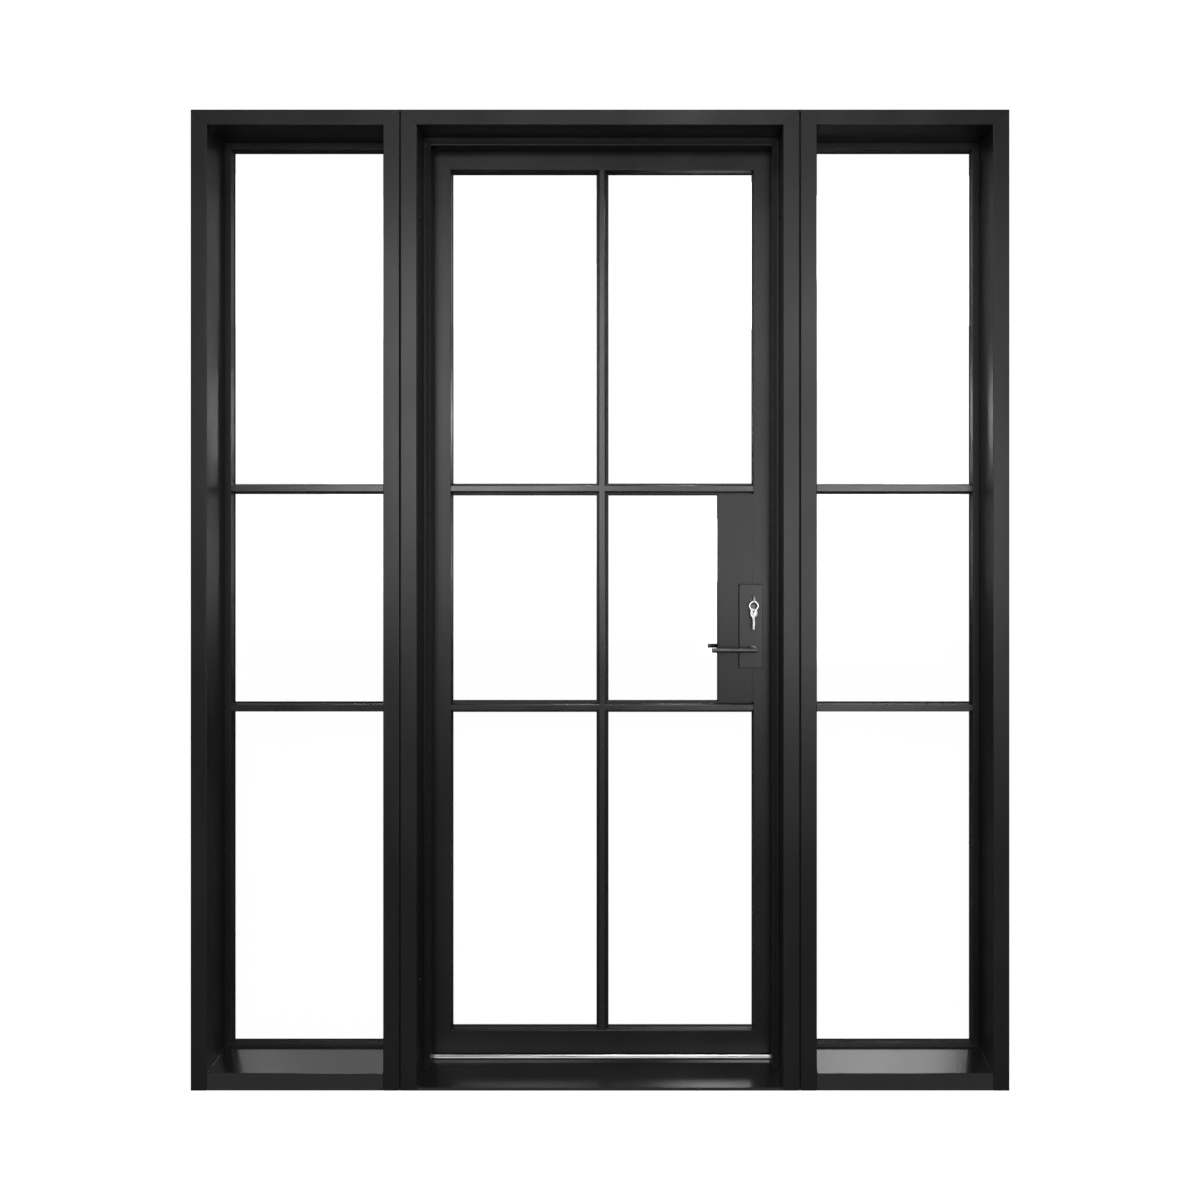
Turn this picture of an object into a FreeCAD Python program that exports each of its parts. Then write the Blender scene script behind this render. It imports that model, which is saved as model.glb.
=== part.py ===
import FreeCAD, Part
import os

# A steel and glass entrance door between two fixed sidelights.
# Millimetres. X runs along the wall, Y from the street face towards the room, Z up.
# The origin is on the floor, midway across the unit and midway through the frame's depth.

# The whole unit
unit_height = 2530.0
frame_depth = 160.0
door_frame_width = 1029.0
sidelight_width = 538.5
joint_gap = 3.0

# Welded tube of the three frames
jamb_face = 42.0
head_face = 40.0
tube_radius = 2.0
joint_strip_setback = 7.0

# Sloping sidelight sill
sill_front_height = 45.0
sill_rear_height = 61.0
sill_rebate_height = 51.0

# Fixed glazing of the sidelights
bead_setback = 94.0
bead_face = 18.0
sill_bead_face = 9.0
rear_bead_foot = 11.0
rear_bead_face = 2.5
fixed_glass_setback = 118.0
fixed_glass_thickness = 24.0
bar_foot = 24.0
bar_face = 17.0
glass_edge_gap = 3.0

# Door stop and seal
stop_setback = 64.0
stop_depth = 34.0
stop_face = 20.0
seal_bulb = 5.0
seal_setback = 4.0
seal_play = 0.3

# Threshold
threshold_front_height = 8.0
threshold_slope_height = 22.0
threshold_step_height = 29.0
threshold_riser_setback = 90.0
strip_thickness = 3.0
strip_rear_setback = 4.0

# Door leaf
leaf_setback = 102.0
leaf_thickness = 54.0
leaf_side_gap = 5.0
leaf_bottom = 40.0
stile_face = 60.0
top_rail_face = 65.0
bottom_rail_face = 63.0
leaf_edge_radius = 2.0
leaf_glass_depth = 28.0
leaf_glass_thickness = 18.0
leaf_rebate = 18.0
leaf_bead_face = 8.0
leaf_bar_base = 30.0
leaf_bar_base_depth = 10.0
leaf_bar_nose = 19.0
leaf_bar_radius = 3.0
leaf_rear_bar_face = 24.0
leaf_rear_bar_radius = 1.5
upper_bar_height = 1562.0
lower_bar_height = 972.0
lock_box_width = 94.0

# Brush under the leaf
sweep_thickness = 10.0
sweep_gap = 5.0

# Weld-on barrel hinges
hinge_count = 4
hinge_end_distance = 220.0
barrel_diameter = 22.0
barrel_length = 60.0
hinge_pin_diameter = 12.0
barrel_gap = 1.0
pin_clearance = 0.05
hinge_flag_thickness = 6.0
hinge_flag_width = 16.0
hinge_flag_inset = 1.0
barrel_stand_off = 1.0
pin_end_gap = 8.0

# Lock furniture
plate_width = 62.0
plate_height = 223.0
plate_thickness = 9.0
plate_radius = 2.0
plate_edge_setback = 36.0
plate_above_bar = 93.0
spindle_from_plate_edge = 26.0
lever_axis_drop = 173.0
cylinder_axis_drop = 42.0
forend_width = 24.0
forend_height = 240.0
forend_thickness = 3.0
latch_width = 14.0
bolt_height = 34.0
bolt_depth = 25.0
strike_thickness = 3.0
strike_height = 240.0
strike_depth = 22.0
strike_clearance = 1.5

# Lever handle
lever_length = 113.0
lever_diameter = 12.0
lever_reach = 50.0
lever_tip_chamfer = 1.5
collar_diameter = 22.0
collar_length = 14.0
collar_chamfer = 1.0
collar_clearance = 0.3
spindle_side = 8.0
spindle_bore = 14.0

# Profile cylinder and keys
cylinder_round = 17.0
cylinder_web = 10.0
cylinder_height = 33.0
cylinder_proud = 3.0
cylinder_clearance = 0.3
key_thickness = 2.2
key_bow_diameter = 24.0
key_hole_diameter = 8.0
key_blade_width = 8.0
key_blade_length = 30.0
key_shoulder = 2.0
key_hole_rim = 2.0
key_notches = 5
key_notch_pitch = 4.5
key_notch_depth = 1.8
key_in_plug = 11.5
keyway_width = 2.8
keyway_height = 9.0
keyway_depth = 12.0
plug_diameter = 13.0
plug_groove = 0.6
spare_key_turn = 45.0
hang_gap = 0.4
spare_hang_gap = 1.3
key_ring_diameter = 24.0
key_ring_wire = 1.6

# Tapped holes for the wall anchors, in the outer faces of the unit
anchor_hole_diameter = 11.0
anchor_hole_depth = 30.0
outer_anchor_distance = 250.0
inner_anchor_distance = 900.0

front = -frame_depth / 2
rear = frame_depth / 2
half_door_frame = door_frame_width / 2
sidelight_inner = half_door_frame + joint_gap
sidelight_outer = sidelight_inner + sidelight_width
door_reveal = half_door_frame - jamb_face
head_underside = unit_height - head_face
leaf_half = door_reveal - leaf_side_gap
leaf_top = head_underside - leaf_side_gap
leaf_front = front + leaf_setback
leaf_rear = leaf_front + leaf_thickness
leaf_opening = leaf_half - stile_face
leaf_opening_top = leaf_top - top_rail_face
leaf_opening_bottom = leaf_bottom + bottom_rail_face
leaf_middle = (leaf_front + leaf_rear) / 2
leaf_glass_front = leaf_front + leaf_glass_depth
leaf_bar_base_front = leaf_glass_front - leaf_bar_base_depth
leaf_glass_back = leaf_glass_front + leaf_glass_thickness
plate_left = leaf_half - plate_edge_setback - plate_width
plate_top = lower_bar_height + leaf_bar_base / 2 + plate_above_bar + plate_height
spindle_x = plate_left + plate_width - spindle_from_plate_edge
lever_z = plate_top - lever_axis_drop
cylinder_z = plate_top - cylinder_axis_drop
lock_box_bottom = lower_bar_height + leaf_bar_base / 2
lock_box_top = upper_bar_height - leaf_bar_base / 2
strip_top = threshold_step_height + strip_thickness
cylinder_front = leaf_front - plate_thickness - cylinder_proud
cylinder_rear = leaf_rear + plate_thickness + cylinder_proud


def block(x0, x1, y0, y1, z0, z1):
    """A square-edged bar between two corners."""
    return Part.makeBox(x1 - x0, y1 - y0, z1 - z0, FreeCAD.Vector(x0, y0, z0))


def edges_along(shape, axis):
    """The straight edges of a shape that run along one axis."""
    found = []
    for edge in shape.Edges:
        if not isinstance(edge.Curve, Part.Line):
            continue
        along = edge.tangentAt(edge.FirstParameter)
        if abs(getattr(along, axis)) > 0.999:
            found.append(edge)
    return found


def ease(shape, radius, axis):
    """Rounds the long edges of a tube, those that run along one axis."""
    return shape.makeFillet(radius, edges_along(shape, axis))


def glazing_bar(start, end, centre, foot_y, face_y):
    """A level bar of tapered section, its wide foot on a fixed pane and its narrow face away from it."""
    corners = [(foot_y, centre - bar_foot / 2), (foot_y, centre + bar_foot / 2),
               (face_y, centre + bar_face / 2), (face_y, centre - bar_face / 2)]
    return section_along_x(corners, start, end)


def nosed_bar(x0, x1, y0, y1, z0, z1, axis, nose_y, radius):
    """A flat bar whose two long edges away from the glass, those at nose_y, are rounded."""
    shape = block(x0, x1, y0, y1, z0, z1)
    nose = [e for e in edges_along(shape, axis) if abs(e.CenterOfMass.y - nose_y) < 0.01]
    return shape.makeFillet(radius, nose)


def prism(points, y0, y1):
    """A front outline, given as (x, z) points, made y0 to y1 deep."""
    corners = [FreeCAD.Vector(x, y0, z) for x, z in points]
    outline = Part.makePolygon(corners + corners[:1])
    return Part.Face(outline).extrude(FreeCAD.Vector(0, y1 - y0, 0))


def section_along_x(points, x0, x1):
    """A side section, given as (y, z) points, made x0 to x1 long."""
    corners = [FreeCAD.Vector(x0, y, z) for y, z in points]
    outline = Part.makePolygon(corners + corners[:1])
    return Part.Face(outline).extrude(FreeCAD.Vector(x1 - x0, 0, 0))


def cylinder(radius, start, direction, length):
    return Part.makeCylinder(radius, length, FreeCAD.Vector(*start), FreeCAD.Vector(*direction))


def save(name, shape):
    shape.exportStep("parts/" + name + ".step")


def mirrored(shape):
    return shape.mirror(FreeCAD.Vector(0, 0, 0), FreeCAD.Vector(1, 0, 0))


def ring(x0, x1, y0, y1, z0, z1, side, top, bottom):
    """A rectangular frame of flat bars, seen from the front, with its own side, top and bottom widths."""
    outer = block(x0, x1, y0, y1, z0, z1)
    return outer.cut(block(x0 + side, x1 - side, y0 - 1, y1 + 1, z0 + bottom, z1 - top))


# Tube frames

def jamb(outer_x, inner_x):
    """An upright tube that stands on the floor and is mitred at its head."""
    points = [(outer_x, 0), (outer_x, unit_height), (inner_x, head_underside), (inner_x, 0)]
    return ease(prism(points, front, rear), tube_radius, "z")


def head(left_x, right_x):
    """A head tube, mitred at both ends to the jambs."""
    points = [
        (left_x, unit_height),
        (right_x, unit_height),
        (right_x - jamb_face, head_underside),
        (left_x + jamb_face, head_underside),
    ]
    return ease(prism(points, front, rear), tube_radius, "x")


def sidelight_sill(left_x, right_x):
    """The sill between the jambs: its top falls towards the street to shed rain."""
    bead_y = front + bead_setback
    points = [
        (front, 0),
        (rear, 0),
        (rear, sill_rebate_height),
        (front + fixed_glass_setback, sill_rebate_height),
        (front + fixed_glass_setback, sill_rear_height),
        (bead_y, sill_rear_height),
        (front, sill_front_height),
    ]
    sill = section_along_x(points, left_x + jamb_face, right_x - jamb_face)
    nose = [e for e in sill.Edges if abs(e.CenterOfMass.y - front) < 0.01 and e.CenterOfMass.z > 1
            and abs(e.tangentAt(e.FirstParameter).x) > 0.999]
    return sill.makeFillet(tube_radius / 2, nose)


def anchored(shape, outer_x):
    """Drills the blind anchor holes into the left face of an outer jamb."""
    for height in (outer_anchor_distance, inner_anchor_distance,
                   unit_height - inner_anchor_distance, unit_height - outer_anchor_distance):
        hole = cylinder(anchor_hole_diameter / 2, (outer_x - 1, 0, height), (1, 0, 0), anchor_hole_depth + 1)
        shape = shape.cut(hole)
    return shape


def make_sidelight_frame(side, place):
    """The four tubes of one sidelight, with the outer jamb drilled for the wall."""
    outer = jamb(-sidelight_outer, -sidelight_outer + jamb_face)
    save(side + "_sidelight_outer_jamb", place(anchored(outer, -sidelight_outer)))
    save(side + "_sidelight_inner_jamb", place(jamb(-sidelight_inner, -sidelight_inner - jamb_face)))
    save(side + "_sidelight_head", place(head(-sidelight_outer, -sidelight_inner)))
    save(side + "_sidelight_sill", place(sidelight_sill(-sidelight_outer, -sidelight_inner)))


def make_sidelight_glazing(side, place):
    """Beads, glazing bars and the sealed pane of one sidelight."""
    left = -sidelight_outer + jamb_face
    right = -sidelight_inner - jamb_face
    bead_y = front + bead_setback
    glass_y = front + fixed_glass_setback
    glass_back = glass_y + fixed_glass_thickness
    bead = ring(left, right, bead_y, glass_y, sill_rear_height, head_underside, bead_face, bead_face, sill_bead_face)
    save(side + "_sidelight_front_bead", place(bead))
    rear_bead = putty_bead(left, right, glass_back)
    save(side + "_sidelight_rear_bead", place(rear_bead))
    glass = block(left + glass_edge_gap, right - glass_edge_gap, glass_y, glass_back,
                  sill_rebate_height + glass_edge_gap, head_underside - glass_edge_gap)
    save(side + "_sidelight_glass", place(glass))
    bars = []
    for height in (lower_bar_height, upper_bar_height):
        bars.append(glazing_bar(left + bead_face, right - bead_face, height, glass_y, bead_y))
        bars.append(glazing_bar(left, right, height, glass_back, rear).cut(rear_bead))
    save(side + "_sidelight_bars", place(Part.makeCompound(bars)))


def putty_bead(left, right, glass_back):
    """The room side bead round a fixed pane: it slopes from a wide foot on the glass to a thin edge."""
    whole = block(left, right, glass_back, rear, sill_rebate_height, head_underside)
    openings = []
    for y, width in ((glass_back, rear_bead_foot), (rear, rear_bead_face)):
        corners = [FreeCAD.Vector(x, y, z) for x, z in (
            (left + width, sill_rebate_height + width), (right - width, sill_rebate_height + width),
            (right - width, head_underside - width), (left + width, head_underside - width))]
        openings.append(Part.makePolygon(corners + corners[:1]))
    return whole.cut(Part.makeLoft(openings, True, True))


def make_door_frame():
    """The middle frame: jambs, head and the strips that close the joints to the sidelights."""
    left_jamb = jamb(-half_door_frame, -door_reveal)
    save("door_frame_left_jamb", left_jamb)
    right_jamb = mirrored(left_jamb).cut([keep(door_reveal, strike_thickness, strike_height)] + keep_pockets())
    save("door_frame_right_jamb", right_jamb)
    save("strike_plate", keep(door_reveal, strike_thickness, strike_height).cut(keep_pockets()))
    save("door_frame_head", head(-half_door_frame, half_door_frame))
    strip = block(-sidelight_inner, -half_door_frame, front + joint_strip_setback, rear - joint_strip_setback,
                  0, unit_height - joint_strip_setback)
    save("left_joint_strip", strip)
    save("right_joint_strip", mirrored(strip))


def threshold_body():
    """A plate that rises from the street to a level step under the leaf."""
    step_y = front + threshold_riser_setback
    points = [
        (front, 0),
        (rear, 0),
        (rear, threshold_step_height),
        (step_y, threshold_step_height),
        (step_y, threshold_slope_height),
        (front, threshold_front_height),
    ]
    return section_along_x(points, -door_reveal, door_reveal)


def threshold_strip():
    """The metal strip that caps the step."""
    return block(-door_reveal, door_reveal, front + threshold_riser_setback, rear - strip_rear_setback,
                 threshold_step_height, strip_top)


def make_threshold():
    save("door_threshold", threshold_body())
    save("threshold_strip", threshold_strip().cut(stop_blank()))


def stop_blank():
    """The left and right stops, run down to the floor before they are cut to the threshold."""
    near = front + stop_setback
    far = near + stop_depth
    inner = door_reveal - stop_face
    under = head_underside - stop_face
    left = prism([(-door_reveal, 0), (-door_reveal, head_underside), (-inner, under), (-inner, 0)], near, far)
    return left.fuse(mirrored(left))


def make_stops():
    """The three bars that the leaf closes against, and the soft bulb on their room side."""
    near = front + stop_setback
    far = near + stop_depth
    inner = door_reveal - stop_face
    under = head_underside - stop_face
    left, right = stop_blank().cut(threshold_body()).Solids
    if left.CenterOfMass.x > right.CenterOfMass.x:
        left, right = right, left
    save("door_stop_left", left)
    save("door_stop_right", right)
    save("door_stop_head", prism([(-door_reveal, head_underside), (door_reveal, head_underside),
                                  (inner, under), (-inner, under)], near, far))
    seal_inner = inner + seal_setback
    seal_under = under + seal_setback
    seal = block(-seal_inner - seal_bulb, seal_inner + seal_bulb, far, leaf_front - seal_play,
                 strip_top, seal_under + seal_bulb)
    save("door_seal", seal.cut(block(-seal_inner, seal_inner, far - 1, leaf_front + 1, 0, seal_under)))


# Door leaf

def make_leaf_frame():
    """Stiles and rails of the leaf, mitred at their corners, and the welded box that holds the lock."""
    opening = leaf_opening
    rebate = block(-opening - leaf_rebate, opening + leaf_rebate, leaf_glass_front, leaf_rear + 1,
                   leaf_opening_bottom - leaf_rebate, leaf_opening_top + leaf_rebate)
    left = prism([(-leaf_half, leaf_bottom), (-leaf_half, leaf_top), (-opening, leaf_opening_top),
                  (-opening, leaf_opening_bottom)], leaf_front, leaf_rear)
    left = ease(left, leaf_edge_radius, "z").cut(rebate)
    save("leaf_hinge_stile", left)
    forend = keep(leaf_half - forend_thickness, forend_thickness, forend_height)
    save("leaf_lock_stile", mirrored(left).cut([lock_bores(), forend] + bolts()))
    save("lock_forend", forend.cut(bolts()))
    save("lock_bolts", Part.makeCompound(bolts()))
    top = prism([(-leaf_half, leaf_top), (leaf_half, leaf_top), (opening, leaf_opening_top),
                 (-opening, leaf_opening_top)], leaf_front, leaf_rear)
    save("leaf_top_rail", ease(top, leaf_edge_radius, "x").cut(rebate))
    bottom = prism([(-leaf_half, leaf_bottom), (leaf_half, leaf_bottom), (opening, leaf_opening_bottom),
                    (-opening, leaf_opening_bottom)], leaf_front, leaf_rear)
    save("leaf_bottom_rail", ease(bottom, leaf_edge_radius, "x").cut(rebate))
    save("leaf_lock_box", lock_box().cut(lock_bores()))


def lock_box():
    """The steel box between the bars, as wide as the leaf's rebate leaves it behind the glass."""
    left = leaf_opening - lock_box_width
    face = block(left, leaf_opening, leaf_front, leaf_glass_front, lock_box_bottom, lock_box_top)
    back = block(left + leaf_rebate, leaf_opening + leaf_rebate, leaf_glass_front, leaf_rear,
                 lock_box_bottom + leaf_rebate, lock_box_top - leaf_rebate)
    return face.fuse(back).removeSplitter()


def make_leaf_glazing():
    """The pane, notched round the lock box, and the beads that hold it from the room side."""
    gap = glass_edge_gap
    box_left = leaf_opening - lock_box_width + leaf_rebate
    box_low = lock_box_bottom + leaf_rebate
    box_high = lock_box_top - leaf_rebate
    outer = leaf_opening + leaf_rebate
    low = leaf_opening_bottom - leaf_rebate
    high = leaf_opening_top + leaf_rebate
    pane = block(-outer + gap, outer - gap, leaf_glass_front, leaf_glass_back, low + gap, high - gap)
    notch = block(box_left - gap, outer, leaf_glass_front - 1, leaf_glass_back + 1, box_low - gap, box_high + gap)
    save("leaf_glass", pane.cut(notch))
    around = ring(-outer, outer, leaf_glass_back, leaf_rear, low, high, leaf_bead_face, leaf_bead_face, leaf_bead_face)
    beside_box = block(box_left - leaf_bead_face, outer, leaf_glass_back, leaf_rear,
                       box_low - leaf_bead_face, box_high + leaf_bead_face)
    beads = around.fuse(beside_box).cut(block(box_left, outer, leaf_glass_back, leaf_rear, box_low, box_high))
    beads = beads.removeSplitter()
    save("leaf_rear_bead", beads)
    make_leaf_bars(beads)


def make_leaf_bars(beads):
    """The leaf's bars: a flat base on the pane with a narrower nose on it outside, a plain bar inside."""
    base = leaf_bar_base / 2
    nose = leaf_bar_nose / 2
    rear_half = leaf_rear_bar_face / 2
    edge = leaf_opening
    outer = leaf_opening + leaf_rebate
    low = leaf_opening_bottom
    high = leaf_opening_top
    bases = block(-base, base, leaf_bar_base_front, leaf_glass_front, low, high)
    outside = nosed_bar(-nose, nose, leaf_front, leaf_bar_base_front, low, high, "z", leaf_front, leaf_bar_radius)
    inside = nosed_bar(-rear_half, rear_half, leaf_glass_back, leaf_rear, low - leaf_rebate, high + leaf_rebate,
                       "z", leaf_rear, leaf_rear_bar_radius).cut(beads)
    save("leaf_upright_bar", Part.makeCompound([outside, inside]))
    for name, height in (("upper", upper_bar_height), ("lower", lower_bar_height)):
        bases = bases.fuse(block(-edge, edge, leaf_bar_base_front, leaf_glass_front, height - base, height + base))
        front_arms = nosed_bar(-edge, edge, leaf_front, leaf_bar_base_front, height - nose, height + nose,
                               "x", leaf_front, leaf_bar_radius).cut(outside)
        rear_arms = nosed_bar(-outer, outer, leaf_glass_back, leaf_rear, height - rear_half, height + rear_half,
                              "x", leaf_rear, leaf_rear_bar_radius).cut([inside, beads])
        save("leaf_" + name + "_bar", Part.makeCompound(front_arms.Solids + rear_arms.Solids))
    save("leaf_glazing_lip", bases.removeSplitter())


def make_sweep():
    """The brush strip under the leaf's bottom edge."""
    save("door_sweep", block(-leaf_half, leaf_half, leaf_middle - sweep_thickness / 2,
                             leaf_middle + sweep_thickness / 2, strip_top + sweep_gap, leaf_bottom))


# Hinges

def make_hinges():
    """Barrel hinges on the room face: the lower barrel and pin are the frame's, the upper one the leaf's."""
    axis_x = -(door_reveal + leaf_half) / 2
    axis_y = rear + barrel_stand_off + barrel_diameter / 2
    radius = barrel_diameter / 2
    pin_radius = hinge_pin_diameter / 2
    lowest = leaf_bottom + hinge_end_distance
    pitch = (leaf_top - hinge_end_distance - lowest) / (hinge_count - 1)
    for number in range(1, hinge_count + 1):
        height = lowest + pitch * (number - 1)
        bottom = height - barrel_length
        lower = cylinder(radius, (axis_x, axis_y, bottom), (0, 0, 1), barrel_length)
        pin = cylinder(pin_radius, (axis_x, axis_y, height), (0, 0, 1), barrel_length - pin_end_gap)
        flag = block(axis_x - radius - hinge_flag_width, axis_x, rear, rear + hinge_flag_thickness, bottom, height)
        save("hinge_%d_frame_barrel" % number, lower.fuse([pin, flag]).removeSplitter())
        low = height + barrel_gap
        upper = cylinder(radius, (axis_x, axis_y, low), (0, 0, 1), barrel_length)
        bore = cylinder(pin_radius + pin_clearance, (axis_x, axis_y, low - 1), (0, 0, 1), barrel_length)
        flag = block(-leaf_half + hinge_flag_inset, axis_x + radius + hinge_flag_width,
                     leaf_rear, leaf_rear + hinge_flag_thickness, low, low + barrel_length)
        web = block(-leaf_half + hinge_flag_inset, axis_x + radius, leaf_rear, axis_y, low, low + barrel_length)
        save("hinge_%d_leaf_barrel" % number, upper.fuse([flag, web]).cut(bore).removeSplitter())


# Lock furniture

def lock_bores():
    """The holes through the leaf for the spindle and the cylinder."""
    spindle_hole = cylinder(spindle_bore / 2, (spindle_x, leaf_front - 1, lever_z), (0, 1, 0), leaf_thickness + 2)
    return spindle_hole.fuse(profile_cylinder(leaf_front - 1, leaf_rear + 1, cylinder_clearance))


def profile_cylinder(y0, y1, grow):
    """A profile cylinder: a round barrel over a narrower web, grown by a clearance where it is a hole."""
    round_part = cylinder(cylinder_round / 2 + grow, (spindle_x, y0, cylinder_z), (0, 1, 0), y1 - y0)
    half = cylinder_web / 2 + grow
    toe_z = cylinder_z + cylinder_round / 2 - cylinder_height + cylinder_web / 2
    web = block(spindle_x - half, spindle_x + half, y0, y1, toe_z, cylinder_z)
    toe = cylinder(half, (spindle_x, y0, toe_z), (0, 1, 0), y1 - y0)
    return round_part.fuse([web, toe]).removeSplitter()


def keep(x, thickness, height):
    """A narrow upright plate let into the edge of the leaf or into the jamb beside it, at the lock's height."""
    middle_z = (lever_z + cylinder_z) / 2
    return block(x, x + thickness, leaf_middle - forend_width / 2, leaf_middle + forend_width / 2,
                 middle_z - height / 2, middle_z + height / 2)


def bolts():
    """The latch and the dead bolt, drawn back flush with the lock's face plate."""
    latch = block(leaf_half - bolt_depth, leaf_half, leaf_middle - latch_width / 2, leaf_middle + latch_width / 2,
                  lever_z - bolt_height / 2, lever_z + bolt_height / 2)
    return [latch, latch.translated(FreeCAD.Vector(0, 0, cylinder_z - lever_z - cylinder_height))]


def keep_pockets():
    """The two pockets behind the strike plate that take the latch and the dead bolt."""
    grow = strike_clearance
    pockets = []
    for bolt in bolts():
        low = bolt.BoundBox
        pockets.append(block(door_reveal, door_reveal + strike_depth, low.YMin - grow, low.YMax + grow,
                             low.ZMin - grow, low.ZMax + grow))
    return pockets


def make_plates():
    """The long plates on both faces of the leaf, bored for the lever collars and the cylinder."""
    for name, y0, y1 in (("outside", leaf_front - plate_thickness, leaf_front),
                         ("inside", leaf_rear, leaf_rear + plate_thickness)):
        plate = ease(block(plate_left, plate_left + plate_width, y0, y1, plate_top - plate_height, plate_top),
                     plate_radius, "y")
        collar_hole = cylinder(collar_diameter / 2 + collar_clearance, (spindle_x, y0 - 1, lever_z),
                               (0, 1, 0), plate_thickness + 2)
        plate = plate.cut([collar_hole, profile_cylinder(y0 - 1, y1 + 1, cylinder_clearance)])
        save("lock_plate_" + name, plate)


def lever(face_y, outward):
    """A round bar lever: a collar in the plate, a neck, and a grip mitred to it that points to the hinges."""
    radius = lever_diameter / 2
    collar = cylinder(collar_diameter / 2, (spindle_x, face_y, lever_z), (0, outward, 0), collar_length)
    end_y = face_y + outward * collar_length
    rim = [e for e in collar.Edges if isinstance(e.Curve, Part.Circle) and abs(e.Curve.Center.y - end_y) < 0.01]
    collar = collar.makeChamfer(collar_chamfer, rim)

    grip_y = face_y + outward * lever_reach
    neck = cylinder(radius, (spindle_x, face_y, lever_z), (0, outward, 0), lever_reach + lever_diameter)
    grip = cylinder(radius, (spindle_x + lever_diameter, grip_y, lever_z), (-1, 0, 0), lever_length + lever_diameter)
    tip_x = spindle_x - lever_length
    tip = [e for e in grip.Edges if isinstance(e.Curve, Part.Circle) and abs(e.Curve.Center.x - tip_x) < 0.01]
    grip = grip.makeChamfer(lever_tip_chamfer, tip)

    reach = 2 * lever_diameter
    inner = (spindle_x - reach, grip_y - outward * reach)
    outer = (spindle_x + reach, grip_y + outward * reach)
    past_neck = wedge([inner, outer, (spindle_x - reach, grip_y + outward * reach)])
    past_grip = wedge([inner, outer, (spindle_x + reach, grip_y - outward * reach)])
    return collar.fuse([neck.cut(past_neck), grip.cut(past_grip)]).removeSplitter()


def wedge(points):
    """A tool that cuts a lever's bars to their mitre, from an outline seen from above."""
    corners = [FreeCAD.Vector(x, y, lever_z - lever_diameter) for x, y in points]
    outline = Part.makePolygon(corners + corners[:1])
    return Part.Face(outline).extrude(FreeCAD.Vector(0, 0, 2 * lever_diameter))


def make_levers():
    """Both levers and the square spindle that turns them together."""
    save("lever_outside", lever(leaf_front - collar_clearance, -1))
    save("lever_inside", lever(leaf_rear + collar_clearance, 1))
    half = spindle_side / 2
    save("lever_spindle", block(spindle_x - half, spindle_x + half, leaf_front - collar_clearance,
                                leaf_rear + collar_clearance, lever_z - half, lever_z + half))


def make_cylinder():
    """The profile cylinder, from the street side through the leaf to the room side, with a keyway at each end."""
    body = profile_cylinder(cylinder_front, cylinder_rear, 0)
    for end_y, inward in ((cylinder_front, 1), (cylinder_rear, -1)):
        start = (spindle_x, end_y, cylinder_z)
        groove = cylinder(plug_diameter / 2 + plug_groove, start, (0, inward, 0), plug_groove)
        groove = groove.cut(cylinder(plug_diameter / 2, start, (0, inward, 0), plug_groove))
        y0, y1 = sorted((end_y, end_y + inward * keyway_depth))
        keyway = block(spindle_x - keyway_width / 2, spindle_x + keyway_width / 2, y0, y1,
                       cylinder_z - keyway_height / 2, cylinder_z + keyway_height / 2)
        body = body.cut([groove, keyway])
    save("lock_cylinder", body)


def key(blade_length):
    """A flat key in the plane x = 0: a round bow at the origin, its hole above, its notched blade below."""
    half = key_thickness / 2
    radius = key_bow_diameter / 2
    half_blade = key_blade_width / 2
    bow = cylinder(radius, (-half, 0, 0), (1, 0, 0), key_thickness)
    shape = bow.fuse(block(-half, half, -half_blade, half_blade, -radius - blade_length, 0))
    hole = cylinder(key_hole_diameter / 2, (-half, 0, radius - key_hole_diameter / 2 - key_hole_rim),
                    (1, 0, 0), key_thickness)
    return shape.cut(hole).removeSplitter()


def notched(shape, blade_length):
    """Cuts a row of V notches into one edge of a hanging key's blade."""
    tip_z = -key_bow_diameter / 2 - blade_length
    edge_y = key_blade_width / 2
    for number in range(key_notches):
        z = tip_z + key_notch_pitch * (number + 1)
        corners = [(edge_y, z - key_notch_depth), (edge_y, z + key_notch_depth), (edge_y - key_notch_depth, z)]
        points = [FreeCAD.Vector(-key_thickness, y, height) for y, height in corners]
        notch = Part.Face(Part.makePolygon(points + points[:1]))
        shape = shape.cut(notch.extrude(FreeCAD.Vector(key_thickness * 2, 0, 0)))
    return shape


def make_keys():
    """A key in the street side of the cylinder, the ring through its bow and a spare key on the ring."""
    bow_y = cylinder_front - key_shoulder - key_bow_diameter / 2
    in_lock = key(key_shoulder + key_in_plug)
    in_lock.rotate(FreeCAD.Vector(0, 0, 0), FreeCAD.Vector(1, 0, 0), 90)
    in_lock.translate(FreeCAD.Vector(spindle_x, bow_y, cylinder_z))
    save("key_in_lock", in_lock)

    hole_offset = key_bow_diameter / 2 - key_hole_diameter / 2 - key_hole_rim
    wire_play = (key_hole_diameter - key_ring_wire) / 2
    ring_radius = (key_ring_diameter - key_ring_wire) / 2
    ring_y = bow_y - hole_offset
    ring_z = cylinder_z - wire_play + hang_gap - ring_radius
    near = (spindle_x, ring_y - key_ring_wire / 2, ring_z)
    key_ring = cylinder(ring_radius + key_ring_wire / 2, near, (0, 1, 0), key_ring_wire)
    key_ring = key_ring.cut(cylinder(ring_radius - key_ring_wire / 2, near, (0, 1, 0), key_ring_wire))
    save("key_ring", key_ring)

    spare_length = key_shoulder + key_blade_length
    spare = notched(key(spare_length), spare_length)
    spare.rotate(FreeCAD.Vector(0, 0, 0), FreeCAD.Vector(0, 0, 1), spare_key_turn)
    spare.translate(FreeCAD.Vector(spindle_x, ring_y, ring_z - ring_radius - wire_play + spare_hang_gap - hole_offset))
    save("spare_key", spare)


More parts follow.
